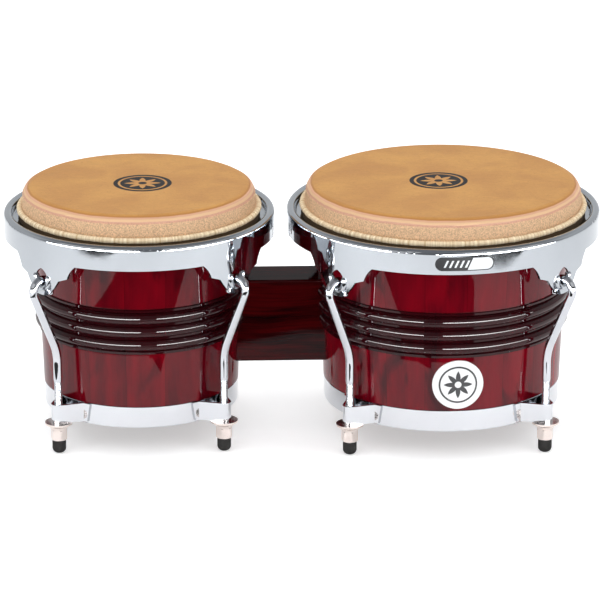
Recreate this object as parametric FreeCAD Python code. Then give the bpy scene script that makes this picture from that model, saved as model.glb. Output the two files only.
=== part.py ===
import FreeCAD, Part
import os
from math import asin, atan2, cos, degrees, pi, radians, sin, sqrt

# A pair of bongo drums on a common wooden block. Millimetres, +Z up, Z = 0 under the rubber feet.
# X runs from the small drum to the large one, and -Y is the player's side.
# The two drums share every section; only the head diameter differs.

os.makedirs("parts", exist_ok=True)
V = FreeCAD.Vector
UP = V(0, 0, 1)

# Overall sizes
head_d = {"small": 171.45, "large": 203.2}    # nominal head diameters, 6 3/4 in and 8 in
rim_gap = 8.6                                 # clear gap between the two rims
height = 187.7                                # playing surface above the floor
lug_count = 4
lug_start = 45.0                              # first lug, degrees from +X

# Shell: staved wood, wider at the head, three turned beads round the waist
wall = 10.0
shell_inset_low = 13.6                        # outside of the shell in from the head radius
shell_inset_mid = 11.2
shell_inset_top = 4.3
edge_round = 4.0                              # bearing edge radius
edge_chamfer = 2.0
bead_pitch = 10.2
bead_h = 8.6
bead_out = 3.8
band_z = 0.5168 * height                      # middle of the bead band
fillet_h = 2.2
fillet_out = 1.3

# Head: one rawhide skin folded round a wire flesh hoop and rolled over at the top
skin_t = 1.0
fold_w = 8.0
fold_h = 6.7
collar_flare = 1.0
hoop_wire_r = 2.5
hoop_drop = 29.7                              # hoop wire below the playing surface
hoop_gap = 0.02
roll_r = 1.6
roll_drop = 15.9
stem_t = 1.2

# Rim: 2 mm pressed sheet with a rolled crest, a flange over the hoop and four ears
sheet = 2.0
rim_out = 14.3                                # outside of the rim beyond the head radius
rim_drop = 18.5                               # crest below the playing surface
crest_r = 3.3
flange_r = 1.5
flange_in = 2.5
apron_h = 17.9
ear_h = 43.8
ear_w = 60.0
ledge_w = 47.0
ledge_in_w = 32.0
ledge_z = 28.0
ledge_in_z = 30.8
tip_w = 11.0
hole_r = 6.3
hole_drop = 32.4                              # centre of the hole's round part below the crest
hole_peak = 8.7
lip_r = 2.5

# Tension hooks and what sits on their lower ends
shank_r = 3.175
thread_r = 2.95
leg_rise = 58.8                               # bend below the middle of the ear hole
thread_below = 22.0                           # thread starts this far below the bend
bend_r = 40.0
crook_r = lip_r + shank_r + 0.525             # centreline of the crook over the rolled lip
crook_gap = 0.03
tip_len = 4.0
tip_chamfer = 0.7
rod_end = 3.6
cap_r = 5.1
cap_h = 10.35
cap_pad = 1.2                                 # flat under the dome
nut_z = 10.4
nut_h = 8.0
nut_af = 11.1
nut_chamfer = 0.8
run_gap = 0.05                                # running clearance of nut on thread, and of end faces
washer_h = 5.5
washer_r = 10.2
washer_edge = 1.5
washer_neck = 6.4
slide_gap = 0.4                               # hook through washer

# Bottom ring and its four welded straps
ring_h = 16.5
ring_t = 1.8
ring_lip = 5.0
ring_inset = 13.3
ring_round = 1.2
strap_t = 1.8
strap_h = 14.0
strap_gap = 0.65
strap_base = 13.0
strap_foot = 5.5

# Centre block and its hidden fixings
block_t = 35.8
block_h = 0.3356 * height
block_z = band_z - 0.6825 * block_h
block_round = 1.5
bolt_r = 4.0
bolt_pitch = 0.492 * block_h
bolt_hole_gap = 0.3
bolt_head_af = 13.0
bolt_head_h = 5.3
bolt_washer_r = 8.0
bolt_washer_t = 1.6
plate_w = 22.0
plate_h = block_h - 7.0
plate_t = 3.0
insert_r = 5.6
insert_len = 22.0
insert_set = 1.0

# Trim
badge_t = 0.8
badge_fill = 0.911                            # of the plain wood between ring and beads
trim_turn = 3.8                               # badge and label, degrees round from the front
label_w = 42.5
label_h = 10.2
label_t = 0.6
label_drop = 9.9

# Derived levels
washer_z = nut_z + nut_h + run_gap
strap_z = washer_z + washer_h
ring_top = strap_z + strap_h + 0.4
ring_z = ring_top - ring_h
shell_z = ring_z + ring_t
shell_top = height - skin_t
crest_z = height - rim_drop
hoop_z = height - hoop_drop
hole_z = crest_z - hole_drop
lip_z = hole_z - hole_r
bend_z = hole_z - leg_rise
thread_top = bend_z - thread_below
head_r = {k: d / 2 for k, d in head_d.items()}
rim_r = {k: r + rim_out for k, r in head_r.items()}
total_w = 2 * rim_r["small"] + 2 * rim_r["large"] + rim_gap
centre_x = {"small": rim_r["small"] - total_w / 2, "large": total_w / 2 - rim_r["large"]}
toward = {"small": 1, "large": -1}            # direction of the other drum


def save(name, shape):
    shape.exportStep("parts/" + name + ".step")


def section(start, *steps):
    """Closed face in the XZ plane; a step is a point, or a pair: arc midpoint and end."""
    at = V(start[0], 0, start[1])
    first = at
    edges = []
    for step in steps:
        if isinstance(step[0], tuple):
            mid = V(step[0][0], 0, step[0][1])
            end = V(step[1][0], 0, step[1][1])
            edges.append(Part.Arc(at, mid, end).toShape())
        else:
            end = V(step[0], 0, step[1])
            edges.append(Part.makeLine(at, end))
        at = end
    if (at - first).Length > 1e-6:
        edges.append(Part.makeLine(at, first))
    return Part.Face(Part.Wire(edges))


def turned(start, *steps):
    return section(start, *steps).revolve(V(0, 0, 0), UP, 360)


def corner(cx, cz, r, deg):
    return (cx + r * cos(radians(deg)), cz + r * sin(radians(deg)))


def hexPrism(af, h):
    r = af / sqrt(3)
    pts = [V(r * cos(k * pi / 3), r * sin(k * pi / 3), 0) for k in range(7)]
    return Part.Face(Part.makePolygon(pts)).extrude(V(0, 0, h))


def atLug(shape, drum, k):
    out = shape.copy()
    out.rotate(V(0, 0, 0), UP, lug_start + k * 360 / lug_count)
    out.translate(V(centre_x[drum], 0, 0))
    return out


def placed(shape, drum):
    out = shape.copy()
    out.translate(V(centre_x[drum], 0, 0))
    return out


def alongX(shape, x, z):
    """Turn a Z-axis solid to lie along +X from the point (x, 0, z)."""
    out = shape.copy()
    out.rotate(V(0, 0, 0), V(0, 1, 0), 90)
    out.translate(V(x, 0, z))
    return out


def shellR(a, z):
    """Outside radius of the shell at height z, a smooth widening curve."""
    low, mid = shell_z, (shell_z + shell_top) / 2 - 15
    s1 = (shell_inset_low - shell_inset_mid) / (mid - low)
    s2 = (shell_inset_mid - shell_inset_top) / (shell_top - mid)
    bend = (s2 - s1) / (shell_top - low)
    return a - shell_inset_low + s1 * (z - low) + bend * (z - low) * (z - mid)


def shellArc(a, z0, z1, inset=0.0):
    zm = (z0 + z1) / 2
    return ((shellR(a, zm) - inset, zm), (shellR(a, z1) - inset, z1))


def makeShell(a):
    ring_in = a - ring_inset - ring_t
    step_z = ring_top + 0.3
    z0, z1 = bandEnds()
    steps = [(ring_in, step_z), (shellR(a, step_z), step_z), shellArc(a, step_z, z0)]
    steps += [(shellR(a, z0) + fillet_out, z0 + 0.4)]
    steps += [(shellR(a, z0 + fillet_h) + fillet_out, z0 + fillet_h - 0.3)]
    for k in range(3):
        zc = band_z + (k - 1) * bead_pitch
        low, high = zc - bead_h / 2, zc + bead_h / 2
        steps += [(shellR(a, low) + 0.3, low)]
        steps += [((shellR(a, zc) + bead_out, zc), (shellR(a, high) + 0.3, high))]
    steps += [(shellR(a, z1 - fillet_h) + fillet_out, z1 - fillet_h + 0.3)]
    steps += [(shellR(a, z1) + fillet_out, z1 - 0.4), (shellR(a, z1), z1)]
    edge_z = shell_top - edge_round
    steps += [shellArc(a, z1, edge_z)]
    r_top = shellR(a, edge_z)
    cx = r_top - edge_round
    steps += [(corner(cx, edge_z, edge_round, 45), (cx, shell_top))]
    r_in = shellR(a, shell_top) - wall
    steps += [(r_in + edge_chamfer, shell_top), (r_in, shell_top - edge_chamfer)]
    steps += [shellArc(a, shell_top - edge_chamfer, shell_z, wall)]
    return turned((ring_in, shell_z), *steps)


def makeSkin(a):
    """Playing surface, fold, collar, the turn round the hoop and the rolled end."""
    hoop_r = a + collar_flare + hoop_wire_r
    out_low = a + collar_flare
    bend = (fold_w ** 2 + fold_h ** 2) / (2 * fold_h)
    cx, cz = a - fold_w, height - bend
    end = degrees(asin((bend - fold_h) / bend))
    mid = (90 + end) / 2
    inner = bend - skin_t
    collar = turned(
        (0, shell_top), (cx, shell_top), (corner(cx, cz, inner, mid), corner(cx, cz, inner, end)),
        (out_low - skin_t, hoop_z), (out_low, hoop_z), corner(cx, cz, bend, end),
        (corner(cx, cz, bend, mid), (cx, height)), (0, height))
    turn = Part.makeTorus(hoop_r, hoop_wire_r + skin_t)
    turn.translate(V(0, 0, hoop_z))
    roll = Part.makeTorus(out_low + roll_r - 0.7, roll_r)
    roll.translate(V(0, 0, height - roll_drop))
    stem_low = hoop_z + hoop_wire_r
    stem = turned((out_low - 0.5, stem_low), (out_low + stem_t, stem_low),
                  (out_low + stem_t, height - roll_drop), (out_low - 0.5, height - roll_drop))
    wire = Part.makeTorus(hoop_r, hoop_wire_r + hoop_gap)
    wire.translate(V(0, 0, hoop_z))
    return collar.fuse([turn, roll, stem]).cut(wire).removeSplitter()


def makeHoop(a):
    hoop = Part.makeTorus(a + collar_flare + hoop_wire_r, hoop_wire_r)
    hoop.translate(V(0, 0, hoop_z))
    return hoop


def earOutline(edge_z):
    """Half by half: apron edge, steep side, ledge, shoulder and rounded tip."""
    z1 = crest_z - ledge_z
    z2 = crest_z - ledge_in_z
    z3 = crest_z - ear_h
    half = [(ear_w / 2, edge_z), ((ledge_w / 2 + 2.2, (edge_z + z1) / 2), (ledge_w / 2, z1)),
            (ledge_in_w / 2, z2), ((ledge_in_w / 2 - 4.0, (z2 + z3) / 2 + 0.6), (tip_w / 2, z3 + 0.5))]
    start = (-ear_w / 2, edge_z)
    steps = [((-ledge_w / 2 - 2.2, (edge_z + z1) / 2), (-ledge_w / 2, z1)), (-ledge_in_w / 2, z2),
             ((-ledge_in_w / 2 + 4.0, (z2 + z3) / 2 + 0.6), (-tip_w / 2, z3 + 0.5)),
             ((0, z3), (tip_w / 2, z3 + 0.5)), (half[3][0], half[2]), half[1][1],
             (half[1][0], half[0])]
    return start, steps


def holeOutline():
    """Teardrop: half circle below, two arcs meeting in a point above."""
    rho = (hole_r ** 2 + hole_peak ** 2) / (2 * hole_r)
    cx = hole_r - rho
    ang = degrees(asin(hole_peak / rho)) / 2
    right = corner(cx, hole_z, rho, ang)
    peak = (0, hole_z + hole_peak)
    return (-hole_r, hole_z), [((0, hole_z - hole_r), (hole_r, hole_z)), (right, peak),
                               ((-right[0], right[1]), (-hole_r, hole_z))]


def radialPrism(outline, r0, r1):
    """Extrude an XZ outline outward along +X between two radii."""
    solid = section(outline[0], *outline[1]).extrude(V(0, r1 - r0, 0))
    solid.rotate(V(0, 0, 0), UP, -90)
    solid.translate(V(r0, 0, 0))
    return solid


def makeLip(r):
    """Rolled saddle round the lower half of an ear hole; the hook pulls on it."""
    rise = 1.5
    a0 = V(r, -hole_r, hole_z + rise)
    a1 = V(r, -hole_r, hole_z)
    b1 = V(r, hole_r, hole_z)
    b0 = V(r, hole_r, hole_z + rise)
    path = Part.Wire([Part.makeLine(a0, a1), Part.Arc(a1, V(r, 0, lip_z), b1).toShape(),
                      Part.makeLine(b1, b0)])
    ring = Part.Wire([Part.makeCircle(lip_r, a0, V(0, 0, -1))])
    lip = path.makePipeShell([ring], True, True)
    return lip.fuse([Part.makeSphere(lip_r, a0), Part.makeSphere(lip_r, b0)])


def makeRim(a):
    out = a + rim_out
    c = out - crest_r
    cz = crest_z - crest_r
    bend_out = flange_r + sheet
    fx = c - crest_r - flange_r
    fz = hoop_z + hoop_wire_r + skin_t + sheet + 0.02
    low = crest_z - ear_h - 1
    inner = crest_r - sheet
    full = turned(
        (a + flange_in + 1, fz - sheet), (fx, fz - sheet),
        (corner(fx, fz + flange_r, bend_out, -45), (fx + bend_out, fz + flange_r)),
        (c - inner, cz), ((c, cz + inner), (c + inner, cz)), (out - sheet, low), (out, low),
        (out, cz), ((c, crest_z), (c - crest_r, cz)), (c - crest_r, fz + flange_r),
        (corner(fx, fz + flange_r, flange_r, -45), (fx, fz)), (a + flange_in + 1, fz),
        ((a + flange_in, fz - 1), (a + flange_in + 1, fz - sheet)))
    edge_z = crest_z - apron_h
    keep = [Part.makeCylinder(out + 5, 60, V(0, 0, edge_z))]
    start, steps = earOutline(edge_z)
    top = [(ear_w / 2, edge_z + 3), (-ear_w / 2, edge_z + 3)]
    ear = radialPrism((start, steps + top), a, out + 5)
    hole = radialPrism(holeOutline(), a + 6, out + 5)
    lip = makeLip(out - sheet / 2)
    turns = [lug_start + k * 360 / lug_count for k in range(lug_count)]
    rim = full.common(keep[0].fuse([spin(ear, t) for t in turns]))
    rim = rim.cut(Part.makeCompound([spin(hole, t) for t in turns]))
    return rim.fuse([spin(lip, t) for t in turns])


def spin(shape, deg):
    out = shape.copy()
    out.rotate(V(0, 0, 0), UP, deg)
    return out


def makeHook(a):
    """J hook: threaded foot, straight shank, leaning leg and a crook through the ear."""
    cx = a + rim_out - sheet / 2
    cz = lip_z + lip_r + crook_gap + shank_r - crook_r
    dist = sqrt((cx - a) ** 2 + (cz - bend_z) ** 2)
    lean = atan2(cx - a, cz - bend_z) + asin(crook_r / dist)
    cut = bend_r * abs(sin(lean) / (1 + cos(lean)))
    p0 = V(a, 0, thread_top)
    p1 = V(a, 0, bend_z - cut)
    arc_mid = V(a + bend_r * (1 - cos(lean / 2)), 0, bend_z - cut + bend_r * sin(lean / 2))
    p2 = V(a + cut * sin(lean), 0, bend_z + cut * cos(lean))
    p3 = V(cx + crook_r * cos(lean), 0, cz - crook_r * sin(lean))
    top = V(cx, 0, cz + crook_r)
    p4 = V(cx - crook_r, 0, cz)
    p5 = V(cx - crook_r, 0, cz - tip_len)
    path = Part.Wire([Part.makeLine(p0, p1), Part.Arc(p1, arc_mid, p2).toShape(),
                      Part.makeLine(p2, p3), Part.Arc(p3, top, p4).toShape(),
                      Part.makeLine(p4, p5)])
    ring = Part.Wire([Part.makeCircle(shank_r, p0, UP)])
    shank = path.makePipeShell([ring], True, True)
    tip = Part.makeCone(shank_r, shank_r - tip_chamfer, tip_chamfer, p5, V(0, 0, -1))
    step = shank_r - thread_r
    neck = Part.makeCone(thread_r, shank_r, step, V(a, 0, thread_top - step))
    thread = Part.makeCylinder(thread_r, thread_top - step - rod_end - 0.6, V(a, 0, rod_end + 0.6))
    nose = Part.makeCone(thread_r - 0.6, thread_r, 0.6, V(a, 0, rod_end))
    return shank.fuse([tip, neck, thread, nose])


def makeCap(a):
    dome = cap_r - cap_pad
    cap = turned((0, 0), (cap_pad, 0), (corner(cap_pad, dome, dome, -45), (cap_r, dome)),
                 (cap_r, cap_h - 0.5), (cap_r - 0.5, cap_h), (thread_r, cap_h),
                 (thread_r, rod_end), (0, rod_end))
    cap.translate(V(a, 0, 0))
    return cap


def makeNut():
    body = hexPrism(nut_af, nut_h)
    r = nut_af / sqrt(3)
    c = nut_chamfer
    bore = thread_r + run_gap
    outer = turned((bore, 0), (r - c, 0), (r, c * 0.6), (r, nut_h - c * 0.6), (r - c, nut_h),
                   (bore, nut_h))
    nut = body.common(outer)
    nut.translate(V(0, 0, nut_z))
    return nut


def makeWasher():
    """Dished flange washer: wide rim under the strap, narrow neck on the nut."""
    bore = thread_r + slide_gap
    mid = ((washer_r + washer_neck) / 2 - 0.7, washer_h * 0.42)
    washer = turned((bore, 0), (washer_neck, 0), (mid, (washer_r, washer_h - washer_edge)),
                    (washer_r, washer_h), (bore, washer_h))
    washer.translate(V(0, 0, washer_z))
    return washer


def makeRing(a):
    out = a - ring_inset
    r = ring_round
    return turned(
        (out - ring_lip, ring_z), (out - r, ring_z), (corner(out - r, ring_z + r, r, -45), (out, ring_z + r)),
        (out, ring_top - 0.4), (out - 0.4, ring_top), (out - ring_t, ring_top),
        (out - ring_t, shell_z), (out - ring_lip, shell_z))


def makeStrap(a):
    """Bent strap: a loop round the hook, two flanks and two feet welded to the ring."""
    rm = thread_r + strap_gap + strap_t / 2
    ring_out = a - ring_inset
    base = V(sqrt(ring_out ** 2 - strap_base ** 2) - 2.5, strap_base + 1.6, 0)
    to_hub = V(a, 0, 0) - base
    lean = atan2(to_hub.y, to_hub.x) + asin(rm / to_hub.Length)
    n = V(-sin(lean), cos(lean), 0)
    hub = V(a, 0, 0)
    out = rm + strap_t / 2
    inn = rm - strap_t / 2
    bo, to = base + n * (strap_t / 2), hub + n * out
    bi, ti = base - n * (strap_t / 2), hub + n * inn

    def mirror(p):
        return V(p.x, -p.y, 0)

    edges = [Part.makeLine(bo, to), Part.Arc(to, V(a + out, 0, 0), mirror(to)).toShape(),
             Part.makeLine(mirror(to), mirror(bo)), Part.makeLine(mirror(bo), mirror(bi)),
             Part.makeLine(mirror(bi), mirror(ti)),
             Part.Arc(mirror(ti), V(a + inn, 0, 0), ti).toShape(), Part.makeLine(ti, bi),
             Part.makeLine(bi, bo)]
    strap = Part.Face(Part.Wire(edges)).extrude(V(0, 0, strap_h))
    foot = section((strap_base - 1, 0), (strap_base + strap_foot - 2.5, 0),
                   (strap_base + strap_foot, strap_h), (strap_base - 1, strap_h))
    foot = foot.extrude(V(0, 30, 0))
    foot.rotate(V(0, 0, 0), UP, -90)
    foot.translate(V(ring_out - 15, 0, 0))
    other = foot.mirror(V(0, 0, 0), V(0, 1, 0))
    band = Part.makeCylinder(ring_out + strap_t, strap_h)
    feet = band.common(foot.fuse(other))
    strap = strap.fuse(feet).cut(Part.makeCylinder(ring_out, strap_h))
    strap.translate(V(0, 0, strap_z))
    return strap.removeSplitter()


def blockBox():
    x0, x1 = centre_x["small"], centre_x["large"]
    box = Part.makeBox(x1 - x0, block_t, block_h, V(x0, -block_t / 2, block_z))
    edges = [e for e in box.Edges if abs(e.tangentAt(e.FirstParameter).x) > 0.9]
    return box.makeFillet(block_round, edges)


def bandEnds():
    band = 3 * bead_pitch + 2 * fillet_h
    return band_z - band / 2, band_z + band / 2


def plainCore(a):
    """Solid inside the shell's outside curve, without the beads."""
    z0, z1 = bandEnds()
    low, high = ring_top + 0.3, shell_top - edge_round
    return turned((0, low), (shellR(a, low), low), shellArc(a, low, z0), shellArc(a, z0, z1),
                  shellArc(a, z1, high), (0, high))


def beadNotch(a, drum):
    """What is turned off the beads where the block sits."""
    z0, z1 = bandEnds()
    side = Part.makeBox(a + 20, block_t, z1 - z0, V(0, -block_t / 2, z0))
    return side.cut(turned((0, z0), (shellR(a, z0), z0), shellArc(a, z0, z1), (0, z1)))


def boltHeights():
    mid = block_z + block_h / 2
    return [mid - bolt_pitch / 2, mid + bolt_pitch / 2]


def seatX(a):
    """Flat seat for the backing plate, from the drum's axis."""
    return shellR(a, block_z + block_h / 2 + plate_h / 2) - wall + 0.4


def makeLabel():
    """Blank pill let into the front of the large rim, flush with its face."""
    out = rim_r["large"]
    low = crest_z - 30
    band = Part.makeCylinder(out, 40, V(0, 0, low)).cut(
        Part.makeCylinder(out - label_t, 40, V(0, 0, low)))
    half = (label_w - label_h) / 2
    r = label_h / 2
    zl = crest_z - label_drop
    pill = section((-half, zl - r), (half, zl - r), ((half + r, zl), (half, zl + r)),
                   (-half, zl + r), ((-half - r, zl), (-half, zl - r)))
    label = band.common(pill.extrude(V(0, -out - 10, 0)))
    return placed(spin(label, trim_turn), "large")


# Centre block, cut to sit on both shells, with holes for the inserts
block = blockBox()
for drum, a in head_r.items():
    block = block.cut(placed(plainCore(a), drum))
shells = {drum: placed(makeShell(a), drum) for drum, a in head_r.items()}
for drum, a in head_r.items():
    way = toward[drum]
    cx = centre_x[drum]
    plate_x = seatX(a)
    wall_x = shellR(a, block_z + block_h / 2)
    bolts, washers, inserts, plate_holes, shell_holes = [], [], [], [], []
    for z in boltHeights():
        face_x = shellR(a, z) + insert_set
        start = plate_x - plate_t - bolt_washer_t
        length = face_x + insert_len - 2 - start
        shank = Part.makeCylinder(bolt_r, length)
        head = hexPrism(bolt_head_af, bolt_head_h)
        head.translate(V(0, 0, -bolt_head_h))
        bolts.append(alongX(shank.fuse(head), start, z))
        ring = Part.makeCylinder(bolt_washer_r, bolt_washer_t).cut(
            Part.makeCylinder(bolt_r + bolt_hole_gap, bolt_washer_t))
        washers.append(alongX(ring, start, z))
        sleeve = Part.makeCylinder(insert_r, insert_len).cut(Part.makeCylinder(bolt_r, insert_len))
        inserts.append(alongX(sleeve, face_x, z))
        clear = Part.makeCylinder(bolt_r + bolt_hole_gap, 40)
        plate_holes.append(alongX(clear, start, z))
        block_hole = alongX(Part.makeCylinder(insert_r, insert_len + 10), face_x - 10, z)
        shell_holes.append(block_hole)
    flip = 0 if way > 0 else 180
    plate = Part.makeBox(plate_t, plate_w, plate_h,
                         V(plate_x - plate_t, -plate_w / 2, block_z + (block_h - plate_h) / 2))
    plate = plate.cut(Part.makeCompound(plate_holes))
    seat = Part.makeBox(20, plate_w + 0.6, plate_h + 0.6,
                        V(plate_x - 20, -plate_w / 2 - 0.3, block_z + (block_h - plate_h) / 2 - 0.3))
    notch = beadNotch(a, drum)
    shells[drum] = shells[drum].cut(placed(spin(notch.fuse(seat.fuse(plate_holes)), flip), drum))
    block = block.cut(placed(spin(Part.makeCompound(shell_holes), flip), drum))
    save(drum + "_backing_plate", placed(spin(plate, flip), drum))
    for name, group in (("block_bolts", bolts), ("bolt_washers", washers), ("block_inserts", inserts)):
        save(drum + "_" + name, placed(spin(Part.makeCompound(group), flip), drum))
save("centre_block", block)

# Drums
label = makeLabel()
for drum, a in head_r.items():
    save(drum + "_shell", shells[drum])
    save(drum + "_head_skin", placed(makeSkin(a), drum))
    save(drum + "_flesh_hoop", placed(makeHoop(a), drum))
    rim = placed(makeRim(a), drum)
    save(drum + "_rim", rim.cut(label) if drum == "large" else rim)
    save(drum + "_bottom_ring", placed(makeRing(a), drum))
    hook, cap, strap = makeHook(a), makeCap(a), makeStrap(a)
    nut, washer = makeNut(), makeWasher()
    nut.translate(V(a, 0, 0))
    washer.translate(V(a, 0, 0))
    for k in range(lug_count):
        tag = "_" + str(k + 1)
        save(drum + "_hook" + tag, atLug(hook, drum, k))
        save(drum + "_foot_cap" + tag, atLug(cap, drum, k))
        save(drum + "_nut" + tag, atLug(nut, drum, k))
        save(drum + "_strap" + tag, atLug(strap, drum, k))
    save(drum + "_flange_washers",
         Part.makeCompound([atLug(washer, drum, k) for k in range(lug_count)]))

# Badge on the large shell, between the ring and the beads, and label on the large rim, both blank
a = head_r["large"]
badge_z = (ring_top + bandEnds()[0]) / 2
badge_d = badge_fill * (bandEnds()[0] - ring_top)
low, high = badge_z - badge_d, badge_z + badge_d
front = turned((shellR(a, low) - wall / 2, low), (shellR(a, low) + badge_t, low),
               shellArc(a, low, high, -badge_t), (shellR(a, high) - wall / 2, high))
disc = Part.makeCylinder(badge_d / 2, a, V(0, 0, badge_z), V(0, -1, 0))
badge = placed(spin(front.common(disc), trim_turn), "large")
save("shell_badge", badge.cut(shells["large"]))

save("rim_label", label)
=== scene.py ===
from math import asin, atan2, cos, degrees, pi, radians, sin, sqrt

import bmesh
import bpy
import numpy as np
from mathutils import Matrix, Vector


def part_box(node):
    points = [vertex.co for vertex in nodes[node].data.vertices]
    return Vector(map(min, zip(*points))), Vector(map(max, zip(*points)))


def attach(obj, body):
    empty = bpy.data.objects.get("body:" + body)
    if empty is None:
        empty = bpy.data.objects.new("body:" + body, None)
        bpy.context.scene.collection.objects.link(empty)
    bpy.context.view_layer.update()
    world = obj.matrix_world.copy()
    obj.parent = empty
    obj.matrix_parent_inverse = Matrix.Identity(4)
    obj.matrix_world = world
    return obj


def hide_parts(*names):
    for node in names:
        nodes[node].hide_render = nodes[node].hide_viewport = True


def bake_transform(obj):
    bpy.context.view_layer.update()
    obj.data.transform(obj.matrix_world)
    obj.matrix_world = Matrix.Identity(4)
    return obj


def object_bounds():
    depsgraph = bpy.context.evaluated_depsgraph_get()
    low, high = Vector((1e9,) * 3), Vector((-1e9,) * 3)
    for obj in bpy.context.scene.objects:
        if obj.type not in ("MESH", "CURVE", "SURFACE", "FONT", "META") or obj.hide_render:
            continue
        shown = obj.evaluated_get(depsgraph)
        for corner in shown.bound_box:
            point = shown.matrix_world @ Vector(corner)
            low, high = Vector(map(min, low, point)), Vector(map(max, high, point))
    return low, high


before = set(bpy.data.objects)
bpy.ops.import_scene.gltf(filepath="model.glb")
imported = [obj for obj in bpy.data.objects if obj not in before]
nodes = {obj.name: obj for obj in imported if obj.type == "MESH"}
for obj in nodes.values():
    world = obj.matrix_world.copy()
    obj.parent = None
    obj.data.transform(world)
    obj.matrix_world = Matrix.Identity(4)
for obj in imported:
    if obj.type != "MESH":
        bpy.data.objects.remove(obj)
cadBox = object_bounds()
mm = 0.001

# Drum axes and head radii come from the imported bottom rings, whose radius is ringInset less than the head's
ringInset = 13.3 * mm
drums = {}
for drum in ("small", "large"):
    low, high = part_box(drum + "_bottom_ring")
    drums[drum] = {"x": (low.x + high.x) / 2, "headR": (high.x - low.x) / 2 + ringInset}
drumHeight = cadBox[1].z
lugAngles = [radians(45 + 90 * k) for k in range(4)]
trimTurn = radians(3.8)   # badge and label, round from the front of the large drum
print("frame loaded:", {name: (round(d["x"], 4), round(d["headR"], 4)) for name, d in drums.items()})


# Small helpers

def toLinear(hexColour):
    # sRGB hex string to linear RGBA
    parts = [int(hexColour[i:i + 2], 16) / 255 for i in (1, 3, 5)]
    return tuple(p / 12.92 if p <= 0.04045 else ((p + 0.055) / 1.055) ** 2.4 for p in parts) + (1.0,)


def addNode(tree, kind, settings=None, inputs=None):
    # one shader node: settings are its properties, inputs are values, sockets or nodes to link
    node = tree.nodes.new("ShaderNode" + kind)
    for key, value in (settings or {}).items():
        setattr(node, key, value)
    for key, value in (inputs or {}).items():
        if isinstance(value, bpy.types.Node):
            value = value.outputs[0]
        if isinstance(value, bpy.types.NodeSocket):
            tree.links.new(value, node.inputs[key])
        else:
            node.inputs[key].default_value = value
    return node


def maths(tree, operation, *values):
    return addNode(tree, "Math", {"operation": operation}, dict(enumerate(values)))


def vectorMaths(tree, operation, *values):
    return addNode(tree, "VectorMath", {"operation": operation}, dict(enumerate(values)))


def lengthOf(tree, vector):
    return vectorMaths(tree, "LENGTH", vector).outputs["Value"]


def scaled(tree, colour, by):
    # the colour made lighter or darker
    return addNode(tree, "VectorMath", {"operation": "SCALE"}, {0: colour, "Scale": by})


def ramp(tree, value, low, high, start=0.0, end=1.0, kind="SMOOTHSTEP"):
    # goes from start to end while value goes from low to high
    return addNode(tree, "MapRange", {"interpolation_type": kind},
                   {0: value, 1: low, 2: high, 3: start, 4: end})


def mixValue(tree, share, first, second):
    return addNode(tree, "Mix", {"data_type": "FLOAT"}, {0: share, 2: first, 3: second})


def mixColour(tree, share, first, second):
    # first where share is 0 and second where it is 1; each is a hex string or a node's colour
    ends = [toLinear(end) if isinstance(end, str) else end for end in (first, second)]
    return addNode(tree, "Mix", {"data_type": "RGBA"}, {0: share, 6: ends[0], 7: ends[1]}).outputs[2]


def noise(tree, place, scale, detail, roughness=0.5, distortion=0.0):
    return addNode(tree, "TexNoise", None, {"Vector": place, "Scale": scale, "Detail": detail,
                                            "Roughness": roughness, "Distortion": distortion})


def objectPlace(tree):
    # position in the object's own coordinates, metres
    return addNode(tree, "TexCoord").outputs["Object"]


def addBump(tree, shader, height, strength, distanceMm, sockets=("Normal",)):
    bump = addNode(tree, "Bump", None, {"Height": height, "Strength": strength, "Distance": distanceMm * mm})
    for socket in sockets:
        tree.links.new(bump.outputs[0], shader.inputs[socket])


def newMaterial(name, shaderValues):
    # a material with only a Principled shader, whose fixed values sit on its own sockets
    material = bpy.data.materials.new(name)
    material.use_nodes = True
    tree = material.node_tree
    tree.nodes.clear()
    shader = addNode(tree, "BsdfPrincipled", None, shaderValues)
    addNode(tree, "OutputMaterial", None, {"Surface": shader})
    return material, tree, shader


def dress(nodeName, material):
    # give a CAD node its finish
    for materialSlot in nodes[nodeName].material_slots:
        materialSlot.material = material


def surfacePiece(name, grids, material):
    # a smooth mesh from grids of points; each grid is (rows, columns, xyz), with a flag for each of its
    # two directions that says whether it closes
    verts, faces, base = [], [], 0
    for points, closeRows, closeColumns in grids:
        rows, columns = points.shape[:2]
        i = np.arange(rows if closeRows else rows - 1)
        j = np.arange(columns if closeColumns else columns - 1)
        ii, jj = np.meshgrid(i, j, indexing="ij")
        ni, nj = (ii + 1) % rows, (jj + 1) % columns
        quads = np.stack([ii * columns + jj, ni * columns + jj, ni * columns + nj, ii * columns + nj], -1)
        verts.append(points.reshape(-1, 3))
        faces.append(quads.reshape(-1, 4) + base)
        base += rows * columns
    mesh = bpy.data.meshes.new(name)
    mesh.from_pydata(np.concatenate(verts), [], np.concatenate(faces))
    # points that meet, such as those of a rounded end, become one
    work = bmesh.new()
    work.from_mesh(mesh)
    bmesh.ops.remove_doubles(work, verts=work.verts, dist=2e-7)
    work.to_mesh(mesh)
    work.free()
    mesh.polygons.foreach_set("use_smooth", np.ones(len(mesh.polygons), bool))
    piece = bpy.data.objects.new(name, mesh)
    bpy.context.scene.collection.objects.link(piece)
    mesh.materials.append(material)
    return piece


# Camera, lights and floor

cameraSettings = {"aim": (1.52 * mm, 0.0, 101.43 * mm), "distance": 2909.7 * mm, "azimuth": 2.09,
                  "elevation": 18.17, "lens": 234.6, "sensor": 36, "shift": (-0.0068, -0.0125),
                  "clip": (0.05, 60)}


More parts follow.
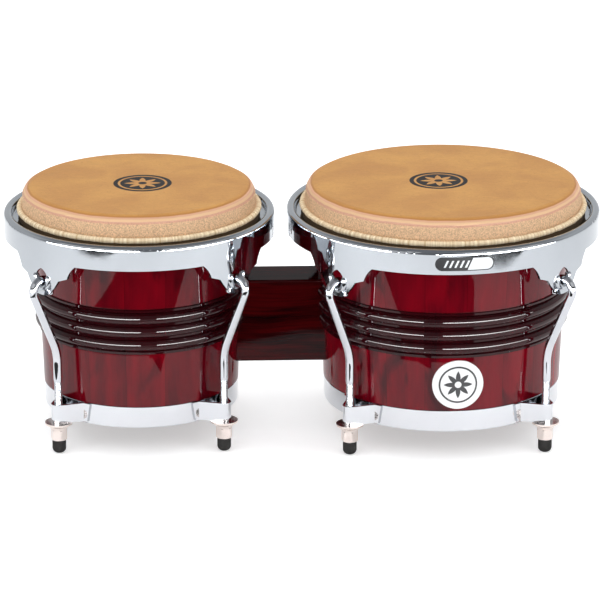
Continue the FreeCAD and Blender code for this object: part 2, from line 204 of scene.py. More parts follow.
def makeCamera(s):
    az, el = radians(s["azimuth"]), radians(s["elevation"])
    forward = Vector((sin(az) * cos(el), cos(az) * cos(el), -sin(el)))
    data = bpy.data.cameras.new("camera")
    data.lens, data.sensor_width = s["lens"], s["sensor"]
    data.shift_x, data.shift_y = s["shift"]
    data.clip_start, data.clip_end = s["clip"]
    camera = bpy.data.objects.new("camera", data)
    camera.location = Vector(s["aim"]) - forward * s["distance"]
    camera.rotation_euler = forward.to_track_quat("-Z", "Y").to_euler()
    bpy.context.scene.collection.objects.link(camera)
    bpy.context.scene.camera = camera


# Sizes are (width, height). Reflections don't show the lamps; the cards further down stand in for them
lamps = {
    "softboxLeft": {"place": (-0.62, -0.62, 0.52), "aim": (0.0, 0.0, 0.08), "size": (1.0, 0.75),
                    "radiance": 1.5},
    "softboxRight": {"place": (0.62, -0.62, 0.52), "aim": (0.0, 0.0, 0.08), "size": (1.0, 0.75),
                     "radiance": 1.5},
    "overhead": {"place": (0.0, 0.10, 1.5), "aim": (0.0, 0.0, 0.1), "size": (1.6, 1.2), "radiance": 1.65},
    "background": {"place": (0.0, 1.35, 1.1), "aim": (0.0, 1.25, 0.0), "size": (2.4, 0.9), "radiance": 1.8},
}


def makeLamp(name, s):
    data = bpy.data.lights.new(name, "AREA")
    data.shape = "RECTANGLE"
    data.size, data.size_y = s["size"]
    data.energy = s["radiance"] * pi * s["size"][0] * s["size"][1]   # watts for that radiance
    lamp = bpy.data.objects.new(name, data)
    lamp.location = s["place"]
    lamp.rotation_euler = (Vector(s["aim"]) - Vector(s["place"])).to_track_quat("-Z", "Y").to_euler()
    lamp.visible_camera = lamp.visible_glossy = False
    bpy.context.scene.collection.objects.link(lamp)


# frontToBack and rise are where the sky's colours change, along Y and up
worldSettings = {"back": "#e6e8ea", "front": "#8e9093", "top": "#9a9ca0", "strength": 0.85,
                 "frontToBack": (-0.35, 0.25), "rise": (0.45, 0.9)}


def makeWorld(s):
    # pale studio: bright behind the set, darker behind the camera and overhead
    world = bpy.data.worlds.new("studio")
    world.use_nodes = True
    tree = world.node_tree
    tree.nodes.clear()
    parts = addNode(tree, "SeparateXYZ", None, {0: addNode(tree, "TexCoord").outputs["Generated"]})
    around = mixColour(tree, ramp(tree, parts.outputs[1], *s["frontToBack"]), s["front"], s["back"])
    whole = mixColour(tree, ramp(tree, parts.outputs[2], *s["rise"]), around, s["top"])
    light = addNode(tree, "Background", None, {"Color": whole, "Strength": s["strength"]})
    addNode(tree, "OutputWorld", None, {"Surface": light})
    bpy.context.scene.world = world


floorSettings = {"half": 7, "points": 15, "low": "#eceded", "high": "#f1f1f1", "glow": 0.45}


def makeFloor(s):
    # plain matt paper sweep, pale and even
    material, tree, shader = newMaterial("paperSweep", {"Roughness": 0.9, "Specular IOR Level": 0.1,
                                                        "Emission Color": (1, 1, 1, 1),
                                                        "Emission Strength": s["glow"]})
    fibres = noise(tree, objectPlace(tree), 3.0, 2.0)
    tree.links.new(mixColour(tree, fibres, s["low"], s["high"]), shader.inputs["Base Color"])
    span = np.linspace(-s["half"], s["half"], s["points"])
    x, y = np.meshgrid(span, span, indexing="ij")
    floor = surfacePiece("floor", [(np.stack([x, y, np.zeros_like(x)], -1), False, False)], material)


# Reflection cards: only glossy surfaces see them

glowOnly = {"Base Color": (0, 0, 0, 1), "Specular IOR Level": 0.0, "Roughness": 1.0,
            "Emission Color": (1, 1, 1, 1)}


def glowMaterial(name, radiance):
    # an even glow and nothing else
    return newMaterial(name, {**glowOnly, "Emission Strength": radiance})[0]


def makeCard(name, points, material):
    card = surfacePiece(name, [(points, False, False)], material)
    card.visible_camera = card.visible_diffuse = card.visible_shadow = card.visible_transmission = False


# Dark flags lie on the floor in front of the set: a part ring round each drum (drum, inner and outer
# radius, start and end degrees) and a patch between them. Each has its own height above the floor
flagSettings = {"radiance": 0.045,
                "rings": (("small", 0.245, 0.45, 160, 285), ("large", 0.255, 0.45, 233, 292)),
                "ringRise": (0.002, 0.0023), "clearOf": 0.50, "thinnest": 0.001,
                "patchX": (-0.085, 0.055), "patchY": (-0.45, -0.234), "patchRise": 0.0035}


def makeFlagCards(s):
    material = glowMaterial("darkFlag", s["radiance"])
    for number, (drum, inner, outer, start, end) in enumerate(s["rings"]):
        centre, other = drums[drum]["x"], drums["large" if drum == "small" else "small"]["x"]
        angle = np.radians(np.linspace(start, end, 61))
        angle, share = np.meshgrid(angle, np.linspace(0, 1, 5), indexing="ij")
        # no part further than clearOf from the other drum, so that its rim never mirrors the card
        apart = centre - other
        lean = apart * np.cos(angle)
        far = np.minimum(outer, -lean + np.sqrt(lean ** 2 + s["clearOf"] ** 2 - apart ** 2))
        radius = inner + share * np.maximum(far - inner, s["thinnest"])
        z = np.full_like(angle, s["ringRise"][number])
        points = np.stack([centre + radius * np.cos(angle), radius * np.sin(angle), z], -1)
        makeCard("flagCard" + str(number + 1), points, material)
    x, y = np.meshgrid(np.linspace(*s["patchX"], 5), np.linspace(*s["patchY"], 5), indexing="ij")
    makeCard("flagCard3", np.stack([x, y, np.full_like(x, s["patchRise"])], -1), material)


# The strips stand upright on (x, y) lines and are brightest at one height
panelRadiance = 0.8
stripSettings = {"height": 0.13, "spread": 0.10, "core": 52.0, "dimFrom": 0.15, "dimTo": 0.85, "dimmed": 0.3,
                 "rise": (0.02, 0.30), "lines": {"stripCardLeft": ((-0.12, -0.66), (-0.84, -0.16)),
                                                 "stripCardRight": ((0.07, -0.66), (0.84, -0.16))}}


def stripGlow(s):
    # fades above and below the bright height, and towards the outer end
    material, tree, shader = newMaterial("stripGlow", glowOnly)
    parts = addNode(tree, "SeparateXYZ", None, {0: objectPlace(tree)})
    away = maths(tree, "ABSOLUTE", maths(tree, "SUBTRACT", parts.outputs[2], s["height"]))
    core = ramp(tree, away, 0.0, s["spread"], s["core"], 0.0, kind="SMOOTHERSTEP")
    out = maths(tree, "ABSOLUTE", parts.outputs[0])
    fade = ramp(tree, out, s["dimFrom"], s["dimTo"], 1.0, s["dimmed"])
    tree.links.new(maths(tree, "MULTIPLY", core, fade).outputs[0], shader.inputs["Emission Strength"])
    return material


def makeGlowCards(s):
    # two soft panels in the softboxes' places, and two low bright strips that draw the streaks on the beads
    panel, strip = glowMaterial("panelGlow", panelRadiance), stripGlow(s)
    for name in ("softboxLeft", "softboxRight"):
        lamp = lamps[name]
        place = np.array(lamp["place"])
        forward = np.array(lamp["aim"]) - place
        side = np.cross(forward, (0, 0, 1))
        side /= np.linalg.norm(side)
        upward = np.cross(side, forward)
        upward /= np.linalg.norm(upward)
        u, v = np.meshgrid(np.linspace(-0.5, 0.5, 5), np.linspace(-0.5, 0.5, 5), indexing="ij")
        width, height = lamp["size"]
        makeCard(name + "Card", place + u[..., None] * side * width + v[..., None] * upward * height, panel)
    for name, (start, end) in s["lines"].items():
        t, rise = np.meshgrid(np.linspace(0, 1, 9), np.linspace(*s["rise"], 5), indexing="ij")
        x, y = start[0] + t * (end[0] - start[0]), start[1] + t * (end[1] - start[1])
        makeCard(name, np.stack([x, y, rise], -1), strip)


makeCamera(cameraSettings)
for name, lampSettings in lamps.items():
    makeLamp(name, lampSettings)
makeWorld(worldSettings)
makeFloor(floorSettings)
makeFlagCards(flagSettings)
makeGlowCards(stripSettings)
bpy.context.scene.view_settings.view_transform = "Standard"
print("camera, lights and floor ready")


# Materials

def axisCoords(tree, drum):
    # position from a drum's axis: as a vector, its three parts, and the angle round the axis
    centred = addNode(tree, "Mapping", None, {"Vector": objectPlace(tree),
                                              "Location": (-drums[drum]["x"], 0, 0)})
    parts = addNode(tree, "SeparateXYZ", None, {0: centred})
    angle = maths(tree, "ARCTAN2", parts.outputs[1], parts.outputs[0])
    return centred, parts, angle


# Lengths in mm. Fibre, figure and flameSize are grain sizes, across and along a stave; the band is the
# beads' toner, from its low edge to its high one
woodSettings = {"staves": {"small": 16, "large": 19}, "firstJoint": 0.37, "jointMm": 0.4, "jointTone": 0.62,
                "inset": 9, "fibre": (1.1, 55), "figure": (13, 70), "flameSize": (24, 60),
                "deep": "#3c020d", "mid": "#5c0410", "bright": "#8a0316", "flame": "#26030a",
                "shade": {"small": 0.9, "large": 1.15}, "bead": "#1e0509", "beadCover": 0.9,
                "band": (79.6, 114.6), "bandEdge": 0.5}


def stretched(tree, place, size):
    # place with x and z counted in grains of that size, mm
    return vectorMaths(tree, "MULTIPLY", place, (1000 / size[0], 1, 1000 / size[1]))


def lacqueredStaves(drum, s):
    # hardwood staves stained deep red under a clear gloss lacquer: grain runs up each stave, and the
    # turned beads are toned dark
    material, tree, shader = newMaterial("redLacqueredStaves_" + drum,
                                         {"Roughness": 0.42, "Coat Weight": 0.6, "Coat Roughness": 0.03,
                                          "Coat IOR": 1.5, "Specular IOR Level": 0.0})
    centred, parts, angle = axisCoords(tree, drum)
    count = s["staves"][drum]
    turn = maths(tree, "MULTIPLY_ADD", angle, count / (2 * pi), count + s["firstJoint"])
    stave = maths(tree, "FLOOR", turn)
    across = maths(tree, "FRACT", turn)
    # each stave is its own board, cut from another place and a little lighter or darker
    chance = addNode(tree, "TexWhiteNoise", {"noise_dimensions": "1D"}, {"W": stave})
    lot = addNode(tree, "SeparateColor", None, {0: chance.outputs["Color"]})
    arc = maths(tree, "MULTIPLY", angle, drums[drum]["headR"] - s["inset"] * mm)
    shift = maths(tree, "MULTIPLY", chance, 5.0)
    board = addNode(tree, "CombineXYZ", None, {0: arc, 1: shift, 2: parts.outputs[2]})
    bend = noise(tree, board, 22.0, 1.0)
    bent = vectorMaths(tree, "MULTIPLY_ADD", bend.outputs["Color"], (0.012, 0, 0), board)
    figure = noise(tree, stretched(tree, bent, s["figure"]), 1.0, 3.0, roughness=0.55)
    fibre = noise(tree, stretched(tree, bent, s["fibre"]), 1.0, 2.0)
    flame = noise(tree, stretched(tree, bent, s["flameSize"]), 1.0, 4.0, distortion=0.6)
    tone = mixColour(tree, ramp(tree, figure, 0.22, 0.8), s["deep"], s["bright"])
    level = ramp(tree, lot.outputs[0], 0.0, 1.0, 0.35, 0.7, kind="LINEAR")
    tone = mixColour(tree, level, tone, s["mid"])
    tone = mixColour(tree, ramp(tree, flame, 0.55, 0.72, 0.0, 0.8), tone, s["flame"])
    tone = scaled(tree, tone, ramp(tree, fibre, 0.3, 0.7, 0.91, 1.05, kind="LINEAR"))
    # glue lines between staves
    edge = maths(tree, "PINGPONG", across, 0.5)
    staveMm = 2 * pi * (drums[drum]["headR"] / mm - s["inset"]) / count
    tone = scaled(tree, tone, ramp(tree, edge, 0.0, s["jointMm"] / staveMm, s["jointTone"], 1.0))
    tone = scaled(tree, tone, s["shade"][drum])
    # dark toner over the bead band
    low, high = s["band"]
    soft = s["bandEdge"]
    above = ramp(tree, parts.outputs[2], (low - soft) * mm, (low + soft) * mm)
    below = ramp(tree, parts.outputs[2], (high - soft) * mm, (high + soft) * mm, 1.0, 0.0)
    cover = maths(tree, "MULTIPLY", maths(tree, "MULTIPLY", above, below), s["beadCover"])
    tree.links.new(mixColour(tree, cover, tone, s["bead"]), shader.inputs["Base Color"])
    # the grain shows very slightly through the lacquer
    waves = noise(tree, centred, 45.0, 1.0)
    heights = maths(tree, "MULTIPLY_ADD", fibre, 0.25, waves)
    addBump(tree, shader, heights, 0.05, 0.4, ("Coat Normal", "Normal"))
    return material


def lacqueredBlock():
    # solid hardwood stained very dark red under gloss lacquer, grain along the block
    material, tree, shader = newMaterial("darkLacqueredBlock", {"Roughness": 0.4, "Coat Weight": 0.25,
                                                                "Coat Roughness": 0.035, "Coat IOR": 1.5,
                                                                "Specular IOR Level": 0.0})
    place = objectPlace(tree)
    bend = noise(tree, place, 14.0, 1.0)
    bent = vectorMaths(tree, "MULTIPLY_ADD", bend.outputs["Color"], (0, 0.006, 0.01), place)
    grain = noise(tree, vectorMaths(tree, "MULTIPLY", bent, (16, 700, 700)), 1.0, 3.0)
    broad = noise(tree, vectorMaths(tree, "MULTIPLY", bent, (9, 90, 90)), 1.0, 3.0)
    both = maths(tree, "MULTIPLY_ADD", grain, 0.5, broad)
    tone = mixColour(tree, ramp(tree, both, 0.55, 1.0), "#150102", "#460306")
    tree.links.new(tone, shader.inputs["Base Color"])
    addBump(tree, shader, grain, 0.04, 0.4, ("Coat Normal", "Normal"))
    return material


def platedMetal(name, bright, dull, roughLow, roughHigh, waveMm, waveStrength):
    # plated metal: polishing waves bend the reflections, thin haze makes the roughness uneven
    material, tree, shader = newMaterial(name, {"Metallic": 1.0})
    place = objectPlace(tree)
    haze = noise(tree, place, 38.0, 4.0, roughness=0.6)
    fine = noise(tree, place, 900.0, 2.0)
    mixed = maths(tree, "MULTIPLY_ADD", fine, 0.3, haze)
    rough = ramp(tree, mixed, 0.45, 0.9, roughLow, roughHigh)
    tree.links.new(rough.outputs[0], shader.inputs["Roughness"])
    tree.links.new(mixColour(tree, haze, bright, dull), shader.inputs["Base Color"])
    addBump(tree, shader, noise(tree, place, 1000 / waveMm, 1.0), waveStrength, 0.3)
    return material


def mouldedRubber():
    # black moulded rubber: matt, with a fine skin and a slight bloom of grey
    material, tree, shader = newMaterial("mouldedRubber", {"Specular IOR Level": 0.12})
    place = objectPlace(tree)
    grain = noise(tree, place, 1400.0, 3.0)
    bloom = noise(tree, place, 120.0, 3.0)
    rough = ramp(tree, bloom, 0.3, 0.7, 0.42, 0.6, kind="LINEAR")
    tree.links.new(mixColour(tree, bloom, "#0f0e0e", "#232120"), shader.inputs["Base Color"])
    tree.links.new(rough.outputs[0], shader.inputs["Roughness"])
    addBump(tree, shader, grain, 0.25, 0.1)
    return material


# Bands (from, to, colour) and collar (from, to) are mm along the skin, from foldStart inside the head's
# radius; the mark's offset is from the drum's axis
hideSettings = {"topDark": "#b98241", "topLight": "#c8934f", "fleck": "#9a6a36",
                "foldStart": 7.2, "waver": 1.6,
                "bands": ((3.0, 3.9, "#b47c40"), (4.6, 5.2, "#d3a283"), (6.3, 7.0, "#dcb48a"),
                          (8.2, 8.8, "#ca987d"), (9.8, 10.8, "#d3ad86")),
                "collar": (7, 11), "sandMm": 1.1, "sandTone": (0.68, 1.2), "streakMm": 2.2,
                # stem is a painted shade colour for the edge below the roll, which lies in the rim's shade
                "creamDark": "#cbab7d", "creamLight": "#fbeccd", "stem": "#5e4a33", "topFlat": 0.9,
                "ink": "#0d0b0b", "markR": 21.7 * mm, "markEdge": 0.35 * mm,
                "markOffset": {"small": (2.7 * mm, -0.1 * mm), "large": (-3.6 * mm, -1.5 * mm)}}


def rawhideHead(drum, s):
    # bare rawhide: honey tan and smooth on top, pinkish at the fold, rough and sandy on the collar,
    # cream where it is rolled
    material, tree, shader = newMaterial("rawhide_" + drum, {"Specular IOR Level": 0.22,
                                                             "Sheen Weight": 0.04, "Sheen Roughness": 0.5})
    centred, parts, angle = axisCoords(tree, drum)
    along = addNode(tree, "Attribute", {"attribute_name": "alongMm"}).outputs["Fac"]
    headMm = drums[drum]["headR"] / mm
    # top: soft clouds, cross-hatched fibres and small flecks
    clouds = noise(tree, centred, 26.0, 4.0, roughness=0.55, distortion=0.4)
    fibres = noise(tree, centred, 330.0, 3.0, roughness=0.7, distortion=1.2)
    flecks = noise(tree, centred, 620.0, 1.0)
    hatchPlace = addNode(tree, "Mapping", None, {"Vector": centred, "Rotation": (0, 0, 0.5),
                                                 "Scale": (120, 900, 300)})
    hatch = noise(tree, hatchPlace, 1.0, 2.0)
    top = mixColour(tree, ramp(tree, clouds, 0.3, 0.7), s["topDark"], s["topLight"])
    mixed = maths(tree, "MULTIPLY_ADD", hatch, 0.6, fibres)
    top = scaled(tree, top, ramp(tree, mixed, 0.5, 1.1, 0.9, 1.08, kind="LINEAR"))
    colour = mixColour(tree, ramp(tree, flecks, 0.66, 0.74, 0.0, 0.35), top, s["fleck"])
    # fold and collar: bands by distance along the skin, with wavering edges
    reach = maths(tree, "MULTIPLY_ADD", noise(tree, centred, 60.0, 2.0), s["waver"], along)
    start = headMm - s["foldStart"]
    for low, high, tint in s["bands"]:
        colour = mixColour(tree, ramp(tree, reach, start + low, start + high), colour, tint)
    # sandy grain, only on the collar
    collar = ramp(tree, along, start + s["collar"][0], start + s["collar"][1])
    sand = noise(tree, centred, 1000 / s["sandMm"], 2.0, roughness=0.7)
    sandShade = ramp(tree, sand, 0.35, 0.65, *s["sandTone"], kind="LINEAR")
    grained = scaled(tree, colour, mixValue(tree, collar, 1.0, sandShade))
    # rolled end: cream with short streaks across it
    rollPart = addNode(tree, "Attribute", {"attribute_name": "roll"}).outputs["Fac"]
    streakTurn = maths(tree, "MULTIPLY", angle, headMm / s["streakMm"])
    streakPlace = addNode(tree, "CombineXYZ", None, {0: streakTurn, 1: 0.0, 2: 0.0})
    streaks = ramp(tree, noise(tree, streakPlace, 1.0, 3.0), 0.35, 0.65, kind="LINEAR")
    cream = mixColour(tree, streaks, s["creamDark"], s["creamLight"])
    colour = mixColour(tree, rollPart, grained, cream)
    # painted shade: the edge below the roll lies in the rim's shade, so it is coloured dark brown
    paintedShadeStem = addNode(tree, "Attribute", {"attribute_name": "stem"}).outputs["Fac"]
    colour = mixColour(tree, paintedShadeStem, colour, s["stem"])
    # printed mark: dark disc with a plain ring and an eight-point star left open
    offsetX, offsetY = s["markOffset"][drum]
    mark = addNode(tree, "Mapping", None, {"Vector": centred, "Location": (-offsetX, -offsetY, 0)})
    markParts = addNode(tree, "SeparateXYZ", None, {0: mark})
    fromMark = lengthOf(tree, vectorMaths(tree, "MULTIPLY", mark, (1, 1, 0)))
    disc = ramp(tree, fromMark, s["markR"] - s["markEdge"], s["markR"], 1.0, 0.0)
    star = starMask(tree, markParts.outputs[0], markParts.outputs[1], fromMark, s["markR"])
    ink = maths(tree, "MULTIPLY", disc, star)
    onTop = maths(tree, "GREATER_THAN", parts.outputs[2], drumHeight - s["topFlat"] * mm)
    wear = ramp(tree, fibres, 0.2, 0.45, 0.93, 1.0, kind="LINEAR")
    ink = maths(tree, "MULTIPLY", maths(tree, "MULTIPLY", ink, onTop), wear)
    tree.links.new(mixColour(tree, ink, colour, s["ink"]), shader.inputs["Base Color"])
    rough = mixValue(tree, collar, ramp(tree, clouds, 0.3, 0.7, 0.5, 0.62, kind="LINEAR"), 0.85)
    tree.links.new(rough.outputs[0], shader.inputs["Roughness"])
    relief = maths(tree, "MULTIPLY_ADD", maths(tree, "MULTIPLY", sand, collar), 3.0, mixed)
    addBump(tree, shader, relief, 0.35, 0.2)
    return material


# Shares of the disc's radius
starSettings = {"points": 8, "tip": 0.62, "notch": 0.26, "inkEdge": (-0.01, 0.02), "heart": (0.13, 0.16),
                "ringAt": 0.8, "ringWidth": (0.03, 0.05)}


def starMask(tree, x, y, distance, radius):
    # 1 on the ink, 0 on the plain ring and on the eight-point star left open inside the disc
    s = starSettings
    half = pi / s["points"]
    sector = maths(tree, "PINGPONG", maths(tree, "ARCTAN2", y, x), half)
    reach = ramp(tree, sector, 0.0, half, radius * s["tip"], radius * s["notch"], kind="LINEAR")
    star = maths(tree, "SUBTRACT", distance, reach)
    starInk = ramp(tree, star, *[radius * share for share in s["inkEdge"]])
    heart = ramp(tree, distance, *[radius * share for share in s["heart"]], 1.0, 0.0)
    starInk = maths(tree, "MAXIMUM", starInk, heart)
    ring = maths(tree, "ABSOLUTE", maths(tree, "SUBTRACT", distance, radius * s["ringAt"]))
    ringInk = ramp(tree, ring, *[radius * share for share in s["ringWidth"]])
    return maths(tree, "MULTIPLY", starInk, ringInk)


def trimPlace(tree, nodeName, fromHead):
    # coordinates on a trim piece of the large drum, sideways and up from its middle, and the centred position
    low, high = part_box(nodeName)
    centred, parts, angle = axisCoords(tree, "large")
    turn = maths(tree, "ADD", angle, pi / 2 - trimTurn)
    side = maths(tree, "MULTIPLY", turn, drums["large"]["headR"] + fromHead)
    rise = maths(tree, "SUBTRACT", parts.outputs[2], (low.z + high.z) / 2)
    return side, rise, centred


badgeSettings = {"fromHead": -12.2 * mm, "disc": 0.9, "discEdge": (0.86, 0.88), "ink": "#26262a",
                 "white": ("#e9ebec", "#f7f7f6")}


def badgeEnamel(s):
    # white baked enamel on a thin metal disc, with a plain dark ring and star
    material, tree, shader = newMaterial("badgeEnamel", {"Roughness": 0.18, "Coat Weight": 0.6,
                                                         "Coat Roughness": 0.05})
    side, rise, centred = trimPlace(tree, "shell_badge", s["fromHead"])
    distance = lengthOf(tree, addNode(tree, "CombineXYZ", None, {0: side, 1: rise, 2: 0.0}))
    low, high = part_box("shell_badge")
    size = (high.z - low.z) / 2 * s["disc"]
    star = starMask(tree, side, rise, distance, size)
    cover = ramp(tree, distance, size * s["discEdge"][0], size * s["discEdge"][1])
    plain = maths(tree, "MAXIMUM", star, cover)
    white = mixColour(tree, noise(tree, centred, 500.0, 2.0), *s["white"])
    tree.links.new(mixColour(tree, plain, s["ink"], white), shader.inputs["Base Color"])
    return material


# Lengths in mm. The pill's round ends are centred "straight" from its middle; the bars and the dark half's
# edge lean by "slant"
labelSettings = {"fromHead": 14.3 * mm, "straight": 16.15, "border": 4.45, "slant": -0.45, "darkTo": 4.0,
                 "barPitch": 1.9, "barFrom": 1.15, "barReach": 2.6, "barsFrom": -15.5, "ink": "#17181a",
                 "white": ("#d9dde0", "#e6e9eb")}


def labelPrint(s):
    # printed pill: white ground, dark outline, dark half with slanted white bars
    material, tree, shader = newMaterial("labelPrint", {"Roughness": 0.35, "Specular IOR Level": 0.15})
    side, rise, centred = trimPlace(tree, "rim_label", s["fromHead"])
    over = maths(tree, "SUBTRACT", maths(tree, "ABSOLUTE", side), s["straight"] * mm)
    over = maths(tree, "MAXIMUM", over, 0.0)
    reach = lengthOf(tree, addNode(tree, "CombineXYZ", None, {0: over, 1: rise, 2: 0.0}))
    border = maths(tree, "GREATER_THAN", reach, s["border"] * mm)
    slant = maths(tree, "MULTIPLY_ADD", rise, s["slant"], side)
    darkHalf = maths(tree, "LESS_THAN", slant, s["darkTo"] * mm)
    bars = maths(tree, "PINGPONG", slant, s["barPitch"] * mm)
    bars = maths(tree, "GREATER_THAN", bars, s["barFrom"] * mm)
    bars = maths(tree, "MULTIPLY", bars, maths(tree, "LESS_THAN", reach, s["barReach"] * mm))
    bars = maths(tree, "MULTIPLY", bars, maths(tree, "GREATER_THAN", slant, s["barsFrom"] * mm))
    darkHalf = addNode(tree, "Math", {"operation": "SUBTRACT", "use_clamp": True}, {0: darkHalf, 1: bars})
    ink = maths(tree, "MAXIMUM", darkHalf, border)
    white = mixColour(tree, noise(tree, centred, 500.0, 2.0), *s["white"])
    tree.links.new(mixColour(tree, ink, white, s["ink"]), shader.inputs["Base Color"])
    return material


rimChrome = platedMetal("chromePlatedPressing", "#b4b8bd", "#abafb4", 0.03, 0.09, 9.0, 0.05)
chrome = platedMetal("chromePlatedSteel", "#cfd1d5", "#c6c8cc", 0.03, 0.09, 9.0, 0.05)
chromeRod = platedMetal("chromePlatedRod", "#c9cbd0", "#bec0c5", 0.03, 0.08, 6.0, 0.05)
nickel = platedMetal("nickelPlatedSteel", "#dfd5d0", "#cfc3bd", 0.12, 0.22, 3.0, 0.08)
zincSteel = platedMetal("zincPlatedSteel", "#a9abad", "#8d9092", 0.28, 0.42, 3.0, 0.12)
drawnWire = platedMetal("drawnSteelWire", "#9a9b9d", "#7f8184", 0.3, 0.45, 2.0, 0.12)
turnedBrass = platedMetal("turnedBrass", "#c9a55a", "#b08c44", 0.22, 0.34, 1.2, 0.15)
rubber = mouldedRubber()
staves = {drum: lacqueredStaves(drum, woodSettings) for drum in drums}
print("materials ready")


# Rawhide heads

# Lengths in mm. The section's fixed points are given from the head's radius, or from the flared collar's;
# a crease is its depth (below zero goes in), its place along the fold and its width
skinSettings = {"foldW": 8.0, "foldH": 6.7, "thick": 1.0, "flare": 1.0, "hoopR": 2.5, "hoopDrop": 29.7,
                "hoopGap": 0.02, "rollR": 2.1, "rollIn": 0.7, "rollDrop": 17.2, "rollArc": (118, -66),
                "collarEnd": (0.52, 1.35), "stemEnd": (1.2, 3.25), "turnArc": (111.8, -180), "innerRise": 4,
                "innerKnee": (0.4, 172), "innerTop": 0.95, "around": 360, "wobble": 0.22, "rollWobble": 0.22,
                "knotWobble": 0.07, "creases": ((0.20, 6.3, 1.0), (-0.28, 4.4, 0.55), (-0.34, 9.3, 0.6)),
                "creaseWander": 0.4, "dent": 0.10, "rollTail": 3, "seed": {"small": 5, "large": 9}}


def arcPoints(cx, cz, r, start, end, count):
    # points of an arc in the section plane, degrees from +r towards +z
    t = np.radians(np.linspace(start, end, count))
    return np.stack([cx + r * np.cos(t), cz + r * np.sin(t)], -1)


